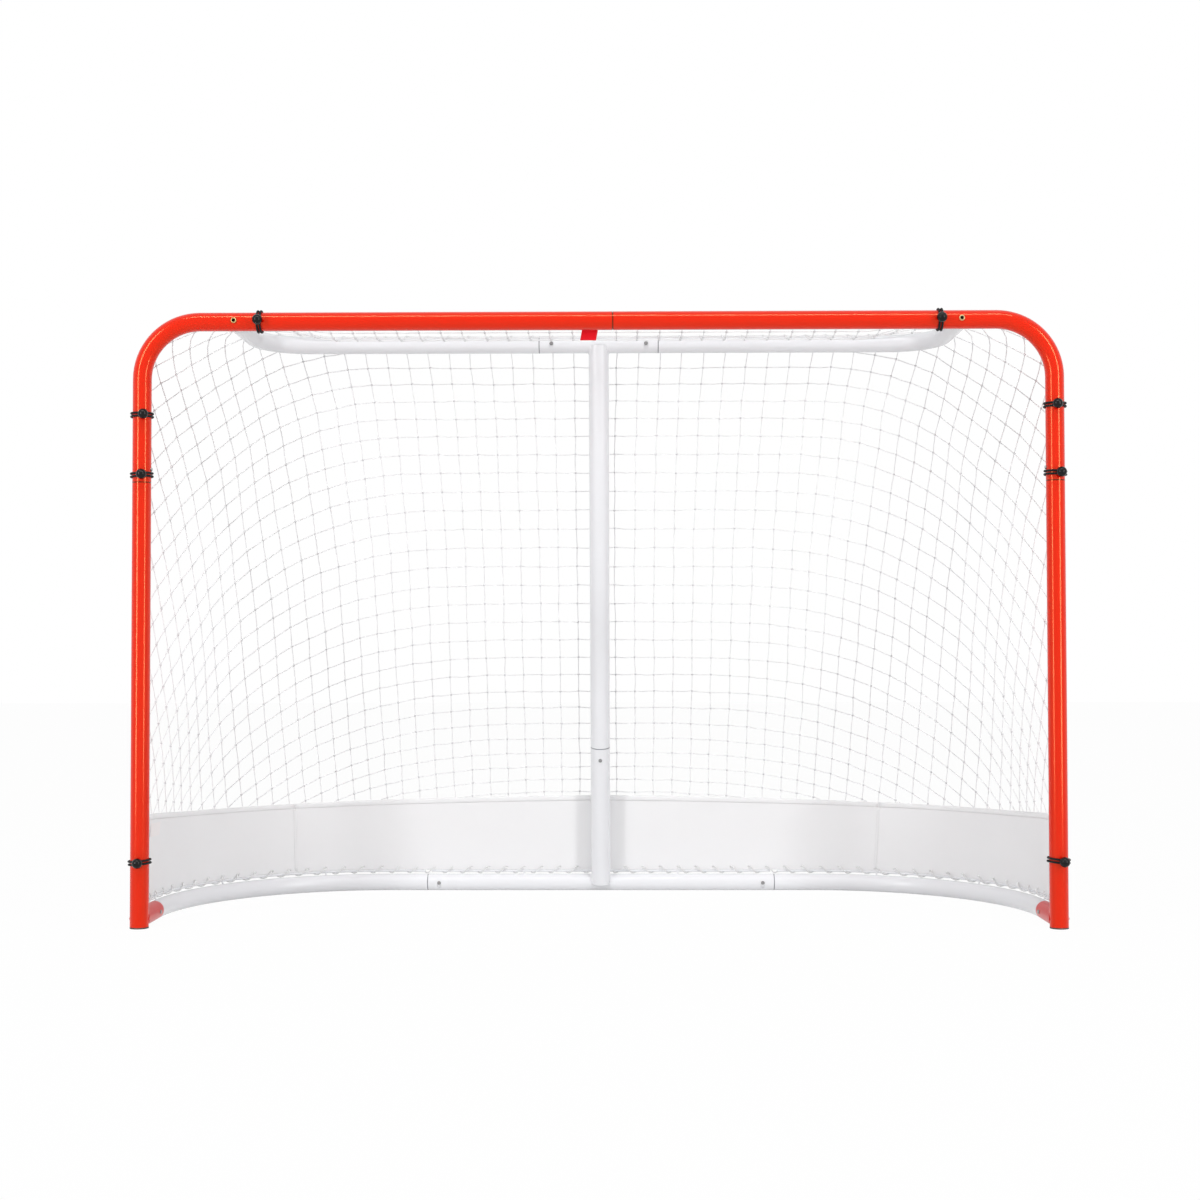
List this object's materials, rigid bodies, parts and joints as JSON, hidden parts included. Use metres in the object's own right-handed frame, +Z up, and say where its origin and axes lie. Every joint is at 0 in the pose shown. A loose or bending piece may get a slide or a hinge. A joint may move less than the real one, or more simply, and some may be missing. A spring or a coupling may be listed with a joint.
{
  "type": "hockey goal net",
  "caption": "Free-standing steel hockey goal: bent tube frame that plugs together with spring buttons, knotted net, laced vinyl skirt and elastic ball ties.",
  "frame": {"origin": "middle of the goal's footprint on the ice, under the bounding box's centre", "axes": "+X along the crossbar, +Y from the goal mouth to the back of the net, +Z up"},
  "size_m": [1.9152, 0.6314, 1.2622],
  "materials": {
    "red_paint": "gloss powder coat",
    "white_paint": "gloss powder coat",
    "plug_plastic": "moulded, matte",
    "zinc_bolt": "yellow zinc plated",
    "plain_steel": "plain",
    "button_steel": "plated, satin",
    "net_twine": "knotted polyester twine",
    "skirt_vinyl": "coated fabric, semi-matte",
    "lacing_cord": "braided cord",
    "tie_ball": "moulded, gloss",
    "tie_elastic": "braided cover over elastic",
    "tag_fabric": "woven tape",
    "label_film": "smooth film"
  },
  "bodies": {
    "root": {"left_corner_tube": "red_paint", "right_corner_tube": "red_paint", "left_post": "red_paint", "right_post": "red_paint", "left_base_socket": "red_paint", "right_base_socket": "red_paint", "base_left_tube": "white_paint", "base_centre_tube": "white_paint", "base_right_tube": "white_paint", "upright_lower_tube": "white_paint", "upright_upper_tube": "white_paint", "shelf_left_tube": "white_paint", "shelf_centre_tube": "white_paint", "shelf_right_tube": "white_paint", "centre_lacing_rod": "white_paint", "right_lacing_rod": "white_paint", "left_lacing_rod": "white_paint", "foot_plugs": "plug_plastic", "shelf_bolts": "zinc_bolt", "arm_inserts": "plain_steel", "button_springs": "plain_steel", "back_net": "net_twine", "right_side_net": "net_twine", "left_side_net": "net_twine", "top_net": "net_twine", "skirt_centre_panel": "skirt_vinyl", "skirt_right_panel": "skirt_vinyl", "skirt_left_panel": "skirt_vinyl", "base_lacing_right_back": "lacing_cord", "base_lacing_left_back": "lacing_cord", "base_lacing_right_corner": "lacing_cord", "base_lacing_left_corner": "lacing_cord", "left_post_top_tie_ball": "tie_ball", "left_post_top_tie_cord": "tie_elastic", "left_post_middle_tie_ball": "tie_ball", "left_post_middle_tie_cord": "tie_elastic", "left_post_low_tie_ball": "tie_ball", "left_post_low_tie_cord": "tie_elastic", "right_post_top_tie_ball": "tie_ball", "right_post_top_tie_cord": "tie_elastic", "right_post_middle_tie_ball": "tie_ball", "right_post_middle_tie_cord": "tie_elastic", "right_post_low_tie_ball": "tie_ball", "right_post_low_tie_cord": "tie_elastic", "left_crossbar_tie_ball": "tie_ball", "left_crossbar_tie_cord": "tie_elastic", "right_crossbar_tie_ball": "tie_ball", "right_crossbar_tie_cord": "tie_elastic", "red_tag": "tag_fabric", "blank_label": "label_film"},
    "left_post_button": {"left_post_button": "button_steel"},
    "right_post_button": {"right_post_button": "button_steel"},
    "crossbar_button": {"crossbar_button": "button_steel"},
    "left_socket_button": {"left_socket_button": "button_steel"},
    "right_socket_button": {"right_socket_button": "button_steel"},
    "base_left_button": {"base_left_button": "button_steel"},
    "base_right_button": {"base_right_button": "button_steel"},
    "shelf_left_button": {"shelf_left_button": "button_steel"},
    "shelf_right_button": {"shelf_right_button": "button_steel"},
    "upright_button": {"upright_button": "button_steel"}
  },
  "joints": [
    {"name": "left_post_button_press", "type": "slide", "parent": "root", "child": "left_post_button", "axis": [-1, 0, 0], "range_m": [0, 0.0048], "stiffness_N_per_m": 1500},
    {"name": "right_post_button_press", "type": "slide", "parent": "root", "child": "right_post_button", "axis": [1, 0, 0], "range_m": [0, 0.0048], "stiffness_N_per_m": 1500},
    {"name": "crossbar_button_press", "type": "slide", "parent": "root", "child": "crossbar_button", "axis": [0, -1, 0], "range_m": [0, 0.0048], "stiffness_N_per_m": 1500},
    {"name": "left_socket_button_press", "type": "slide", "parent": "root", "child": "left_socket_button", "axis": [-1, 0, 0], "range_m": [0, 0.0048], "stiffness_N_per_m": 1500},
    {"name": "right_socket_button_press", "type": "slide", "parent": "root", "child": "right_socket_button", "axis": [1, 0, 0], "range_m": [0, 0.0048], "stiffness_N_per_m": 1500},
    {"name": "base_left_button_press", "type": "slide", "parent": "root", "child": "base_left_button", "axis": [0, 1, 0], "range_m": [0, 0.0048], "stiffness_N_per_m": 1500},
    {"name": "base_right_button_press", "type": "slide", "parent": "root", "child": "base_right_button", "axis": [0, 1, 0], "range_m": [0, 0.0048], "stiffness_N_per_m": 1500},
    {"name": "shelf_left_button_press", "type": "slide", "parent": "root", "child": "shelf_left_button", "axis": [0, 1, 0], "range_m": [0, 0.0048], "stiffness_N_per_m": 1500},
    {"name": "shelf_right_button_press", "type": "slide", "parent": "root", "child": "shelf_right_button", "axis": [0, 1, 0], "range_m": [0, 0.0048], "stiffness_N_per_m": 1500},
    {"name": "upright_button_press", "type": "slide", "parent": "root", "child": "upright_button", "axis": [0, 0.9745, 0.2243], "range_m": [0, 0.0048], "stiffness_N_per_m": 1500}
  ]
}
